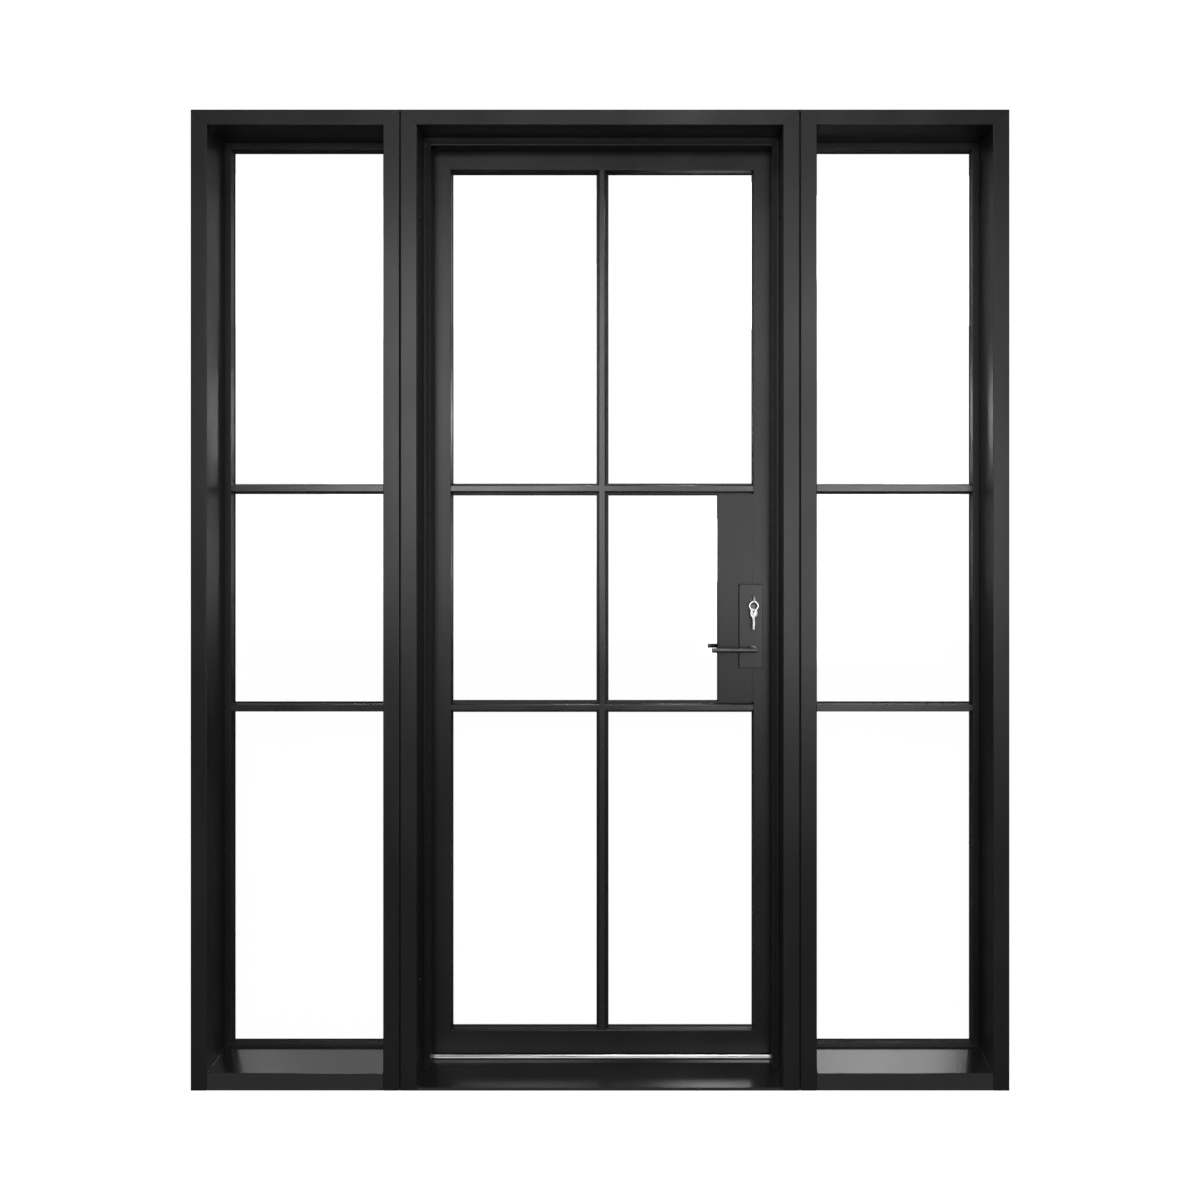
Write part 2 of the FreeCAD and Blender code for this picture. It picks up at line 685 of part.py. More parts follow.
os.makedirs("parts", exist_ok=True)
make_sidelight_frame("left", lambda shape: shape)
make_sidelight_frame("right", mirrored)
make_sidelight_glazing("left", lambda shape: shape)
make_sidelight_glazing("right", mirrored)
make_door_frame()
make_threshold()
make_stops()
make_leaf_frame()
make_leaf_glazing()
make_sweep()
make_hinges()
make_plates()
make_levers()
make_cylinder()
make_keys()
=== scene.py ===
import math
import bmesh
import bpy
from mathutils import Matrix, Vector


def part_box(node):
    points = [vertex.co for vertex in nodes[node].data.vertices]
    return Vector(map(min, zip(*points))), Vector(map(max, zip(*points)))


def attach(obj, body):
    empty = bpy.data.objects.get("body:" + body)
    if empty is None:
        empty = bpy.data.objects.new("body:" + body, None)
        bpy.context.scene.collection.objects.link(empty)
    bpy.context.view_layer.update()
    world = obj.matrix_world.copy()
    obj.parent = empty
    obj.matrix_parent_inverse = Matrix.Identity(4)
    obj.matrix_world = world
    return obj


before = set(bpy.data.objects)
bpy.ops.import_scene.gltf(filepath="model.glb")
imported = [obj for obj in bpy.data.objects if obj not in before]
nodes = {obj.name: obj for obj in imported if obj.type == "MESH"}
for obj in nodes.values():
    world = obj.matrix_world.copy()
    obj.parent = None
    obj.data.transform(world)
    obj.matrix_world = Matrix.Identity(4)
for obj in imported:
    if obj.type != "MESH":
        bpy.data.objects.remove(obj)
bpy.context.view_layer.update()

# Tube frames. Both sidelights and the doorway are welded from 42 by 160 mm steel tube, their mitres ground
# flush, and powder coated in one satin black coat after welding. The coat has the fine skin of baked powder,
# and the long faces of cold rolled tube stay a little wavy under it.
coat_black = (0.0105, 0.0105, 0.0108, 1)
coat_grey = (0.0150, 0.0150, 0.0153, 1)
coat_roughness = (0.30, 0.40)
coat_patches = 7.0
powder_grain = 900
powder_strength = 0.12
powder_depth = 0.0004
tube_waves = 1.6
wave_depth = 0.02
tube_edge = 0.0008
merge_reach = 0.00002
flat_angle = 1
sharp_angle = 30


def grey(level):
    return (level, level, level, 1)


def new_material(name):
    material = bpy.data.materials.new(name)
    material.use_nodes = True
    material.node_tree.nodes["Principled BSDF"].name = "surface"
    return material, material.node_tree


def add(tree, kind, **values):
    node = tree.nodes.new(kind)
    for name, value in values.items():
        if name in node.inputs:
            node.inputs[name].default_value = value
        else:
            setattr(node, name, value)
    return node


def noise(tree, scale, detail=2.0, stretch=(1, 1, 1)):
    where = add(tree, "ShaderNodeTexCoord")
    mapping = add(tree, "ShaderNodeMapping", Scale=stretch)
    pattern = add(tree, "ShaderNodeTexNoise", Scale=scale, Detail=detail)
    tree.links.new(where.outputs["Object"], mapping.inputs["Vector"])
    tree.links.new(mapping.outputs["Vector"], pattern.inputs["Vector"])
    return pattern.outputs["Fac"]


def spread(tree, fac, low, high, start=0.3, end=0.7):
    ranged = add(tree, "ShaderNodeMapRange")
    for socket, value in (("From Min", start), ("From Max", end), ("To Min", low), ("To Max", high)):
        ranged.inputs[socket].default_value = value
    tree.links.new(fac, ranged.inputs["Value"])
    return ranged.outputs["Result"]


def colours(tree, fac, dark, light, start=0.3, end=0.7):
    ramp = add(tree, "ShaderNodeValToRGB")
    ramp.color_ramp.elements[0].position = start
    ramp.color_ramp.elements[1].position = end
    ramp.color_ramp.elements[0].color = dark
    ramp.color_ramp.elements[1].color = light
    tree.links.new(fac, ramp.inputs["Fac"])
    return ramp.outputs["Color"]


def bumps(tree, *layers):
    normal = None
    for height, strength, distance in layers:
        bump = add(tree, "ShaderNodeBump", Strength=strength, Distance=distance)
        tree.links.new(height, bump.inputs["Height"])
        if normal:
            tree.links.new(normal, bump.inputs["Normal"])
        normal = bump.outputs["Normal"]
    return normal


def wire(tree, **sockets):
    surface = tree.nodes["surface"]
    for name, source in sockets.items():
        socket = surface.inputs[name.replace("_", " ")]
        if isinstance(source, bpy.types.NodeSocket):
            tree.links.new(source, socket)
        else:
            socket.default_value = source


def powder_coat(name, dark, light, roughness, wavy, gloss=0.5):
    """A baked coat, cloudy in tone and polish, grained like powder and as wavy as the metal under it."""
    material, tree = new_material(name)
    clouds = noise(tree, coat_patches, 4.0, (1, 1, 0.35))
    skin = noise(tree, powder_grain, 2.0)
    waves = noise(tree, tube_waves, 1.0, (1, 1, 0.5))
    wire(
        tree,
        Base_Color=colours(tree, clouds, dark, light),
        Roughness=spread(tree, clouds, *roughness),
        Normal=bumps(tree, (waves, wavy, wave_depth), (skin, powder_strength, powder_depth)),
        Specular_IOR_Level=gloss,
    )
    return material


def paint(material, *names):
    for name in names:
        nodes[name].data.materials.clear()
        nodes[name].data.materials.append(material)


def ease_edges(name, width):
    """Merges a node's loose triangles for its modifiers and breaks its sharp edges."""
    node = nodes[name]
    weld = node.modifiers.new("weld", "WELD")
    weld.merge_threshold = merge_reach
    flat = node.modifiers.new("flat", "DECIMATE")
    flat.decimate_type = "DISSOLVE"
    flat.angle_limit = math.radians(flat_angle)
    bevel = node.modifiers.new("bevel", "BEVEL")
    bevel.width = width
    bevel.segments = 2
    bevel.limit_method = "ANGLE"
    bevel.angle_limit = math.radians(sharp_angle)
    bevel.harden_normals = True


satin_black = powder_coat("satin_black_powder_coat", coat_black, coat_grey, coat_roughness, 0.06)
for side in ("left", "right"):
    paint(satin_black, *(side + "_sidelight_" + part for part in ("outer_jamb", "inner_jamb", "head")))
paint(satin_black, "door_frame_left_jamb", "door_frame_right_jamb", "door_frame_head")
for name in ("left_sidelight_head", "right_sidelight_head", "door_frame_head"):
    ease_edges(name, tube_edge)

# Sills. A folded plate closes each sidelight below and slopes to the street. Its coat is baked lying flat, so it
# flows out smoother and glossier than the tubes' coat.
enamel_index = 1.8
smooth_plate = powder_coat("smooth_plate_coat", coat_black, coat_grey, (0.13, 0.18), 0.02, 1.0)
wire(smooth_plate.node_tree, IOR=enamel_index)
for name in ("left_sidelight_sill", "right_sidelight_sill"):
    paint(smooth_plate, name)
    ease_edges(name, tube_edge)

# Fixing screws. Black socket screws tie the doorway's jambs to the sidelights beside them. They sit near the
# jambs' ends, with their low domed heads on the reveals.
reveal_x = -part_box("door_frame_left_jamb")[1][0]
fixing_y = -0.0365
fixing_heights = (0.266, 2.267)
fixing_radius = 0.0055
fixing_rise = 0.0012


def screw_head(shape, place, facing, radius, rise):
    """A domed head with a six-lobed socket, standing on its place and facing a direction."""
    disc = bmesh.ops.create_circle(shape, segments=24, radius=radius, cap_ends=True)["verts"]
    top = disc[0].link_faces[0]
    top.normal_update()
    if top.normal.z < 0:
        top.normal_flip()
    made = set(disc)
    for inward, up in ((0.04, 0.6), (0.22, 0.4), (0.24, 0.0)):
        bmesh.ops.inset_individual(shape, faces=[top], thickness=inward * radius, depth=up * rise)
        made.update(top.verts)
    for vert in top.verts:
        lobe = 1 + 0.16 * math.cos(6 * math.atan2(vert.co.y, vert.co.x))
        vert.co.x *= lobe
        vert.co.y *= lobe
    bmesh.ops.inset_individual(shape, faces=[top], thickness=0.03 * radius, depth=-0.9 * rise)
    made.update(top.verts)
    turn = Vector(facing).to_track_quat("Z", "Y").to_matrix().to_4x4()
    bmesh.ops.transform(shape, verts=list(made), matrix=Matrix.Translation(place) @ turn)


def finish_piece(name, shape, material, body, sharp=35):
    """Turns a shape into a piece of the object that rides on a body."""
    bmesh.ops.remove_doubles(shape, verts=shape.verts, dist=0.000002)
    bmesh.ops.recalc_face_normals(shape, faces=shape.faces)
    mesh = bpy.data.meshes.new(name)
    shape.to_mesh(mesh)
    shape.free()
    mesh.shade_smooth()
    mesh.set_sharp_from_angle(angle=math.radians(sharp))
    mesh.materials.append(material)
    piece = bpy.data.objects.new(name, mesh)
    bpy.context.scene.collection.objects.link(piece)
    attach(piece, body)
    return piece


fixings = bmesh.new()
for height in fixing_heights:
    screw_head(fixings, (-reveal_x, fixing_y, height), (1, 0, 0), fixing_radius, fixing_rise)
    screw_head(fixings, (reveal_x, fixing_y, height), (-1, 0, 0), fixing_radius, fixing_rise)
screw_black = powder_coat("black_screw", grey(0.004), grey(0.008), (0.35, 0.5), 0.0)
finish_piece("jamb_fixing_screws", fixings, screw_black, "frame")

# Glazing beads and bars. Steel flats and square bars hold the panes, coated like the tubes. The bars are cold
# drawn, so their coat lies smoother. Edges are only broken, and each gets a fine bevel that catches the light.
bead_bevel = 0.0008
smooth_black = powder_coat("smooth_black_bar_coat", coat_black, coat_grey, (0.24, 0.32), 0.05, 1.0)
for side in ("left", "right"):
    paint(satin_black, side + "_sidelight_front_bead", side + "_sidelight_rear_bead")
    paint(smooth_black, side + "_sidelight_bars")
    for part in ("front_bead", "rear_bead", "bars"):
        ease_edges(side + "_sidelight_" + part, bead_bevel)

# Joint strips and caulk. Black sealant fills the joints between the doorway's jambs and the sidelights. A tooled
# bead of caulk closes both ends of each sloping sill, and of the threshold, against the jambs.


def soft_black(name, dark, light, patches, roughness, grain, strength, depth):
    """A soft black material that is patchy in tone and has a fine grain in its surface."""
    material, tree = new_material(name)
    wire(
        tree,
        Base_Color=colours(tree, noise(tree, patches, 3.0), grey(dark), grey(light)),
        Roughness=roughness,
        Normal=bumps(tree, (noise(tree, grain, 2.0), strength, depth)),
    )
    return material


sealant = soft_black("black_sealant", 0.004, 0.009, 60.0, 0.75, 240.0, 0.3, 0.0006)
paint(sealant, "left_joint_strip", "right_joint_strip")
caulk = soft_black("tooled_caulk", 0.012, 0.022, 80.0, 0.32, 130.0, 0.25, 0.0006)
pane_play = 0.003
sill_front = (-0.079, 0.0450)
sill_back = (0.014, 0.0610)
threshold_front = (-0.080, 0.0080)
threshold_back = (-0.016, 0.0180)
sill_caulk = 0.0024
threshold_caulk = 0.0016


def draw_out(shape, outline, move):
    """Draws a list of corners out into a solid bar."""
    face = shape.faces.new([shape.verts.new(corner) for corner in outline])
    made = bmesh.ops.extrude_face_region(shape, geom=[face])["geom"]
    corners = [item for item in made if isinstance(item, bmesh.types.BMVert)]
    bmesh.ops.translate(shape, verts=corners, vec=move)


def caulk_run(shape, corner_x, inward, start, end, leg):
    """A hollow-faced bead in the corner between a jamb and a sloping plate, from start to end as (y, z)."""
    outline = [(corner_x + inward * across * leg, start[0], start[1] + up * leg)
               for across, up in ((0, 0), (1, 0), (0.35, 0.4), (0, 1))]
    draw_out(shape, outline, (0, end[0] - start[0], end[1] - start[1]))


caulking = bmesh.new()
for side in ("left", "right"):
    pane_low, pane_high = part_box(side + "_sidelight_glass")
    caulk_run(caulking, pane_low[0] - pane_play, 1, sill_front, sill_back, sill_caulk)
    caulk_run(caulking, pane_high[0] + pane_play, -1, sill_front, sill_back, sill_caulk)
caulk_run(caulking, -reveal_x, 1, threshold_front, threshold_back, threshold_caulk)
caulk_run(caulking, reveal_x, -1, threshold_front, threshold_back, threshold_caulk)
finish_piece("corner_caulk", caulking, caulk, "frame")

strip_low, strip_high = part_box("left_joint_strip")
joint_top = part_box("door_frame_head")[1][2]
joint_front = -0.0795
joint_back = strip_high[1] - 0.0005
joint_hollow = 0.0008
# Painted shade. A foot of the black sealant fills the front of each joint down at the floor. It is a dark block
# where the slot in front of the strip lies in shade.
joint_shade_foot = ((strip_low[1], 0.0002), (joint_front, 0.0002), (joint_front, 0.0020), (strip_low[1], 0.0060))
strip_ends = bmesh.new()
for turn in (-1, 1):
    near, far = sorted((turn * strip_low[0], turn * strip_high[0]))
    top = ((near, strip_high[2]), (far, strip_high[2]), (far, joint_top),
           ((near + far) / 2, joint_top - joint_hollow), (near, joint_top))
    draw_out(strip_ends, [(x, joint_front, z) for x, z in top], (0, joint_back - joint_front, 0))
    draw_out(strip_ends, [(near, y, z) for y, z in joint_shade_foot], (far - near, 0, 0))
finish_piece("joint_strip_ends", strip_ends, sealant, "frame")

# Fixed panes. Sealed double glazing of clear float glass, with a black spacer between its sheets and a line of
# black sealant where the glass meets the beads and bars.
clear_glass, glass_tree = new_material("clear_float_glass")
wire(glass_tree, Base_Color=(0.985, 0.995, 0.99, 1), Roughness=0.0, IOR=1.45, Transmission_Weight=1.0)
paint(clear_glass, "left_sidelight_glass", "right_sidelight_glass", "leaf_glass")
lower_bar = 0.972
upper_bar = 1.562
fixed_bar_half = 0.012
bead_cover = 0.018
sill_bead_top = 0.070
head_bead = 2.472
fixed_sheet = 0.005
fixed_line = (0.0015, 0.006)


def rows_between(bottom, top, half):
    """The heights of the three rows of lights, between bars of a half width."""
    return ((bottom, lower_bar - half), (lower_bar + half, upper_bar - half), (upper_bar + half, top))


def around(x0, x1, z0, z1):
    """The corners of an opening, each with the direction into it."""
    return [(x0, z0, 1, 1), (x1, z0, -1, 1), (x1, z1, -1, -1), (x0, z1, 1, -1)]


def run_round(shape, corners, section):
    """A strip that follows an opening's corners. Its section is a closed list of insets and depths."""
    sections = [[shape.verts.new((x + turn_x * inset, y, z + turn_z * inset)) for inset, y in section]
                for x, z, turn_x, turn_z in corners]
    loops = [[shape.edges.new(pair) for pair in zip(points, points[1:] + points[:1])] for points in sections]
    for here, there in zip(loops, loops[1:] + loops[:1]):
        bmesh.ops.bridge_loops(shape, edges=here + there)


def sealant_line(glass_y, outward, on_glass, on_frame):
    """The section of a tooled sealant line in the corner between the glass and what holds it."""
    return [(0, glass_y), (on_glass, glass_y), (on_glass * 0.45, glass_y + outward * on_frame * 0.3),
            (0, glass_y + outward * on_frame)]


def spacer_bar(near, far, outer_edge=0.001, inner_edge=0.008):
    """The section of the bar that holds two sheets apart, as near and far from the street as given."""
    return [(outer_edge, near), (inner_edge, near), (inner_edge, far), (outer_edge, far)]


fixed_sealant = bmesh.new()
fixed_spacers = bmesh.new()
fixed_rows = rows_between(sill_bead_top, head_bead, fixed_bar_half)
for side in ("left", "right"):
    pane_low, pane_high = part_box(side + "_sidelight_glass")
    for bottom, top in fixed_rows:
        light = around(pane_low[0] - pane_play + bead_cover, pane_high[0] + pane_play - bead_cover, bottom, top)
        run_round(fixed_sealant, light, sealant_line(pane_low[1], -1, *fixed_line))
    run_round(fixed_spacers, around(pane_low[0], pane_high[0], pane_low[2], pane_high[2]),
              spacer_bar(pane_low[1] + fixed_sheet, pane_high[1] - fixed_sheet))
finish_piece("fixed_pane_sealant", fixed_sealant, sealant, "frame", 60)
finish_piece("fixed_pane_spacers", fixed_spacers, sealant, "frame")

# Threshold. A coated steel plate slopes to the street, and a bright metal strip caps its step. The strip's
# nosing rises in front of the leaf's lower edge and runs from stop to stop, over a bead of black sealant that
# closes the strip's front edge.
paint(smooth_plate, "door_threshold")


def bare_metal(name, dark, light, roughness, marks, bump=None):
    """A bare metal whose tone and polish follow one pattern of marks, which may be felt as well."""
    material, tree = new_material(name)
    pattern = noise(tree, *marks)
    wire(
        tree,
        Base_Color=colours(tree, pattern, dark, light),
        Metallic=1.0,
        Roughness=spread(tree, pattern, *roughness),
    )
    if bump:
        wire(tree, Normal=bumps(tree, (pattern, *bump)))
    return material


strip_metal = bare_metal("brushed_metal_strip", (0.52, 0.52, 0.53, 1), (0.72, 0.72, 0.73, 1), (0.25, 0.42),
                         (320.0, 3.0, (0.02, 1, 1)), (0.15, 0.0003))
paint(strip_metal, "threshold_strip")
nosing_half = 0.4522
nosing_section = ((0.0138, 0.0318), (0.0141, 0.0327), (0.0150, 0.0338), (0.0168, 0.0356), (0.0186, 0.0372),
                  (0.0199, 0.0379), (0.0207, 0.0377), (0.0209, 0.0370), (0.0209, 0.0318))
bead_section = ((0.0102, 0.0284), (0.0096, 0.0292), (0.0094, 0.0310), (0.0100, 0.0323), (0.0122, 0.0326),
                (0.0143, 0.0324), (0.0143, 0.0316), (0.0104, 0.0312))
nosing = bmesh.new()
draw_out(nosing, [(-nosing_half, y, z) for y, z in nosing_section], (2 * nosing_half, 0, 0))
finish_piece("threshold_nosing", nosing, strip_metal, "frame")
strip_bead = bmesh.new()
draw_out(strip_bead, [(-nosing_half, y, z) for y, z in bead_section], (2 * nosing_half, 0, 0))
finish_piece("threshold_strip_sealant", strip_bead, sealant, "frame", 60)

# Stops and seal. Steel bars welded inside the jambs and the head stop the leaf, coated with the frame. A black
# rubber bulb behind them seals the gap.
stop_edge = 0.0015
for name in ("door_stop_left", "door_stop_right", "door_stop_head"):
    paint(satin_black, name)
    ease_edges(name, stop_edge)
rubber = soft_black("black_rubber", 0.005, 0.011, 90.0, 0.6, 500.0, 0.2, 0.0003)
paint(rubber, "door_seal")

# Weather strip. A moulded black strip lies on the street face of the stops and is bent round their two upper
# corners. A raised lip runs along its inner edge, its outer edge is rounded, and its feet stand on the threshold.
strip_bend = 0.0045
strip_setback = 0.0005
strip_inner = strip_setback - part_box("door_stop_left")[1][0]
strip_overhang = 0.003
strip_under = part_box("door_stop_head")[0][2] - strip_overhang
strip_foot = 0.0182
strip_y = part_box("door_stop_left")[0][1]
strip_section = ((0.0115, -0.0001), (0.0115, 0.0017), (0.0112, 0.0021), (0.0105, 0.0023), (0.0029, 0.0023),
                 (0.0023, 0.0026), (0.0018, 0.0034), (0.0011, 0.0038), (0.0004, 0.0037), (0, 0.0031), (0, -0.0001))


def lengthen(shape, edges, move):
    """Carries an open end of a strip straight on and gives its new end."""
    made = bmesh.ops.extrude_edge_only(shape, edges=edges)["geom"]
    corners = {item for item in made if isinstance(item, bmesh.types.BMVert)}
    bmesh.ops.translate(shape, verts=list(corners), vec=move)
    return [item for item in made if isinstance(item, bmesh.types.BMEdge) and set(item.verts) <= corners]


def bend_round(shape, edges, centre):
    """Carries an open end of a strip through a quarter turn and gives its new end."""
    made = bmesh.ops.spin(shape, geom=edges, cent=centre, axis=(0, 1, 0), angle=math.radians(90), steps=8)
    return [item for item in made["geom_last"] if isinstance(item, bmesh.types.BMEdge)]


weather_strip = bmesh.new()
foot = weather_strip.faces.new([weather_strip.verts.new((-strip_inner - across, strip_y - rise, strip_foot))
                                for across, rise in strip_section])
end = lengthen(weather_strip, foot.edges[:], (0, 0, strip_under - strip_bend - strip_foot))
end = bend_round(weather_strip, end, (-strip_inner + strip_bend, strip_y, strip_under - strip_bend))
end = lengthen(weather_strip, end, (2 * (strip_inner - strip_bend), 0, 0))
end = bend_round(weather_strip, end, (strip_inner - strip_bend, strip_y, strip_under - strip_bend))
end = lengthen(weather_strip, end, (0, 0, strip_foot - strip_under + strip_bend))
bmesh.ops.holes_fill(weather_strip, edges=end)
strip_black = soft_black("moulded_black_strip", 0.014, 0.02, 70.0, 0.33, 300.0, 0.15, 0.0003)
finish_piece("stop_weather_strip", weather_strip, strip_black, "frame")

# Leaf. Stiles and rails of 60 by 54 mm tube are mitred and welded, with a steel box let in for the lock, and
# coated like the frame. Its glazing bars are cold drawn, so their coat lies smoother.
paint(satin_black, "leaf_hinge_stile", "leaf_lock_stile", "leaf_top_rail", "leaf_bottom_rail", "leaf_lock_box")
for name in ("leaf_top_rail", "leaf_bottom_rail"):
    ease_edges(name, tube_edge)
for name in ("leaf_glazing_lip", "leaf_rear_bead"):
    paint(satin_black, name)
    ease_edges(name, bead_bevel)
for name in ("leaf_upright_bar", "leaf_upper_bar", "leaf_lower_bar"):
    paint(smooth_black, name)
    ease_edges(name, bead_bevel)

# Lock box seam. The weld between the lock box and its stile is filled, ground flush on the street face and
# coated over.
seam_x = 0.4075
seam_face = 0.0220
seam_half = 0.0030
seam_low = 0.9875
seam_length = 0.5590
seam_section = ((-seam_half, -0.00005), (-seam_half * 0.8, 0.00012), (seam_half * 0.8, 0.00012),
                (seam_half, -0.00005))
box_seam = bmesh.new()
draw_out(box_seam, [(seam_x + across, seam_face - rise, seam_low) for across, rise in seam_section],
         (0, 0, seam_length))
finish_piece("lock_box_seam", box_seam, satin_black, "leaf")

# Leaf pane. It is bedded in a deep line of black sealant on the street side and held by screwed beads on the
# room side. Its spacer follows the notch round the lock box.
opening_half = 0.4075
opening_low = 0.103
opening_high = 2.420
bar_half = 0.015
rear_bar_half = 0.012
box_left = 0.3135
rear_half = 0.4175
rear_low = 0.093
rear_high = 2.430
rear_box_left = 0.3235
rear_box_low = 0.997
rear_box_high = 1.537
notch_left = 0.3285
notch_low = 1.002
notch_high = 1.532
leaf_sheet = 0.004
leaf_front_line = (0.0014, 0.009)
leaf_rear_line = (0.0014, 0.004)
leaf_pane_low, leaf_pane_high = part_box("leaf_glass")

leaf_sealant = bmesh.new()
for number, (bottom, top) in enumerate(rows_between(opening_low, opening_high, bar_half)):
    right_edge = box_left if number == 1 else opening_half
    for light in (around(-opening_half, -bar_half, bottom, top), around(bar_half, right_edge, bottom, top)):
        run_round(leaf_sealant, light, sealant_line(leaf_pane_low[1], -1, *leaf_front_line))
for number, (bottom, top) in enumerate(rows_between(rear_low, rear_high, rear_bar_half)):
    lights = [around(-rear_half, -rear_bar_half, bottom, top), around(rear_bar_half, rear_half, bottom, top)]
    if number == 1:
        lights[1][2:2] = [(rear_half, rear_box_low, -1, -1), (rear_box_left, rear_box_low, -1, -1),
                          (rear_box_left, rear_box_high, -1, 1), (rear_half, rear_box_high, -1, 1)]
    for light in lights:
        run_round(leaf_sealant, light, sealant_line(leaf_pane_high[1], 1, *leaf_rear_line))
finish_piece("leaf_pane_sealant", leaf_sealant, sealant, "leaf", 60)

leaf_spacer = bmesh.new()
pane_outline = around(leaf_pane_low[0], leaf_pane_high[0], leaf_pane_low[2], leaf_pane_high[2])
pane_outline[2:2] = [(leaf_pane_high[0], notch_low, -1, -1), (notch_left, notch_low, -1, -1),
                     (notch_left, notch_high, -1, 1), (leaf_pane_high[0], notch_high, -1, 1)]
run_round(leaf_spacer, pane_outline, spacer_bar(leaf_pane_low[1] + leaf_sheet, leaf_pane_high[1] - leaf_sheet))
finish_piece("leaf_pane_spacer", leaf_spacer, sealant, "leaf")

bead_middle = 0.4215
bead_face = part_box("leaf_rear_bead")[1][1]
bead_screw_radius = 0.0026
bead_screw_rise = 0.0007
rail_heights = (0.089, 2.434)
bead_screw_rows = (
    (-bead_middle, (0.16, 0.44, 0.72, 1.22, 1.68, 1.95, 2.22, 2.37)),
    (bead_middle, (0.16, 0.44, 0.72, 0.92, 1.68, 1.95, 2.22, 2.37)),
    (0.3275, (1.04, 1.27, 1.49)),
    (-0.33, rail_heights),
    (-0.10, rail_heights),
    (0.10, rail_heights),
    (0.33, rail_heights),
)
bead_screws = bmesh.new()
for x, heights in bead_screw_rows:
    for height in heights:
        screw_head(bead_screws, (x, bead_face, height), (0, 1, 0), bead_screw_radius, bead_screw_rise)
finish_piece("leaf_bead_screws", bead_screws, screw_black, "leaf")

# Brush. A strip of fine black bristles closes the gap under the leaf. The bristles stand upright and vary from
# black to grey.
bristle, bristle_tree = new_material("black_bristles")
strands = noise(bristle_tree, 1400.0, 2.0, (1, 1, 0.03))
wire(
    bristle_tree,
    Base_Color=colours(bristle_tree, strands, grey(0.003), grey(0.018)),
    Roughness=0.55,
    Normal=bumps(bristle_tree, (strands, 0.8, 0.0008)),
)
paint(bristle, "door_sweep")

# Hinges. Four weld-on barrels with a pin, coated with the frame. A rippled weld runs down the open edge of
# each flag.
hinge_count = 4
weld_pitch = 0.0021
weld_size = 0.0024
weld_setback = 0.003
weld_length = 0.054


def weld_run(shape, start, end):
    """A weld from start to end, laid down as overlapping drops."""
    start = Vector(start)
    end = Vector(end)
    drops = int((end - start).length / weld_pitch)
    for number in range(drops + 1):
        place = start.lerp(end, number / drops)
        bmesh.ops.create_icosphere(shape, subdivisions=2, radius=weld_size, matrix=Matrix.Translation(place))


frame_welds = bmesh.new()
leaf_welds = bmesh.new()
for number in range(1, hinge_count + 1):
    for part, shape, side in (("frame", frame_welds, 0), ("leaf", leaf_welds, 1)):
        barrel = "hinge_%d_%s_barrel" % (number, part)
        paint(satin_black, barrel)
        low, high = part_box(barrel)
        flag_x = (low[0], high[0])[side]
        flag_y = low[1]
        foot = low[2] + weld_setback
        weld_run(shape, (flag_x, flag_y, foot), (flag_x, flag_y, foot + weld_length))
finish_piece("frame_hinge_welds", frame_welds, satin_black, "frame")
finish_piece("leaf_hinge_welds", leaf_welds, satin_black, "leaf")

# Lock. Satin black plates and levers, a nickel plated cylinder, its keys and the face plates. The inside plate
# is bolted through to the outside one, which shows no screw.
plate_edge = 0.0008
key_edge = 0.0004
hardware_dark = (0.016, 0.016, 0.0162, 1)
hardware_light = (0.022, 0.022, 0.0222, 1)
hardware_black = powder_coat("satin_black_hardware", hardware_dark, hardware_light, (0.28, 0.36), 0.0)
paint(hardware_black, "lock_plate_outside", "lock_plate_inside")
lever_black = powder_coat("worn_smooth_lever", hardware_dark, hardware_light, (0.17, 0.24), 0.0, 1.0)
paint(lever_black, "lever_outside", "lever_inside")
for name in ("lock_plate_outside", "lock_plate_inside"):
    ease_edges(name, plate_edge)
nickel = bare_metal("bright_nickel", (0.62, 0.61, 0.59, 1), (0.78, 0.77, 0.75, 1), (0.12, 0.24), (140.0, 4.0))
paint(nickel, "lever_spindle", "lock_forend", "lock_bolts", "strike_plate", "key_ring")
key_nickel = bare_metal("handled_key_nickel", (0.66, 0.66, 0.65, 1), (0.82, 0.82, 0.81, 1), (0.28, 0.42),
                        (220.0, 5.0), (0.1, 0.0003))
paint(key_nickel, "key_in_lock", "spare_key")
# Painted shade. The cylinder's nickel is darkened so that its face stays dark, as it does in shade, instead of
# shining under the lamps.
nickel_with_painted_shade = bare_metal("nickel_painted_shade", grey(0.05), grey(0.11), (0.2, 0.3), (160.0, 4.0))
paint(nickel_with_painted_shade, "lock_cylinder")
for name in ("key_in_lock", "spare_key"):
    ease_edges(name, key_edge)

# Painted shadow. A thin rim of black rubber stands round the edge of each lock plate. It is a dark line in place
# of the shadow that the plates cast on the leaf.
shadow_rim_lap = 0.0023
shadow_rim_width = 0.0035
shadow_rim_lip = 0.0002
shadow_rim_rise = 0.0012
shadow_rim_crown = 0.0013
plate_painted_shadow_rims = bmesh.new()
for name, outward in (("lock_plate_outside", -1), ("lock_plate_inside", 1)):
    low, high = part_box(name)
    face_y = high[1] if outward < 0 else low[1]
    edge = around(low[0] - shadow_rim_lap, high[0] + shadow_rim_lap, low[2] - shadow_rim_lap, high[2] + shadow_rim_lap)
    run_round(plate_painted_shadow_rims, edge, [
        (0.0, face_y), (shadow_rim_lip, face_y + outward * shadow_rim_rise),
        (shadow_rim_width, face_y + outward * shadow_rim_crown), (shadow_rim_width, face_y)])
finish_piece("lock_plate_gaskets", plate_painted_shadow_rims, rubber, "leaf")

plate_middle = 0.4005
plate_screw_inset = 0.014
plate_screw_radius = 0.0042
plate_screw_rise = 0.0010
plate_low, plate_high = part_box("lock_plate_inside")
plate_screws = bmesh.new()
for height in (plate_low[2] + plate_screw_inset, plate_high[2] - plate_screw_inset):
    place = (plate_middle, plate_high[1], height)
    screw_head(plate_screws, place, (0, 1, 0), plate_screw_radius, plate_screw_rise)
finish_piece("inside_plate_screws", plate_screws, hardware_black, "leaf")

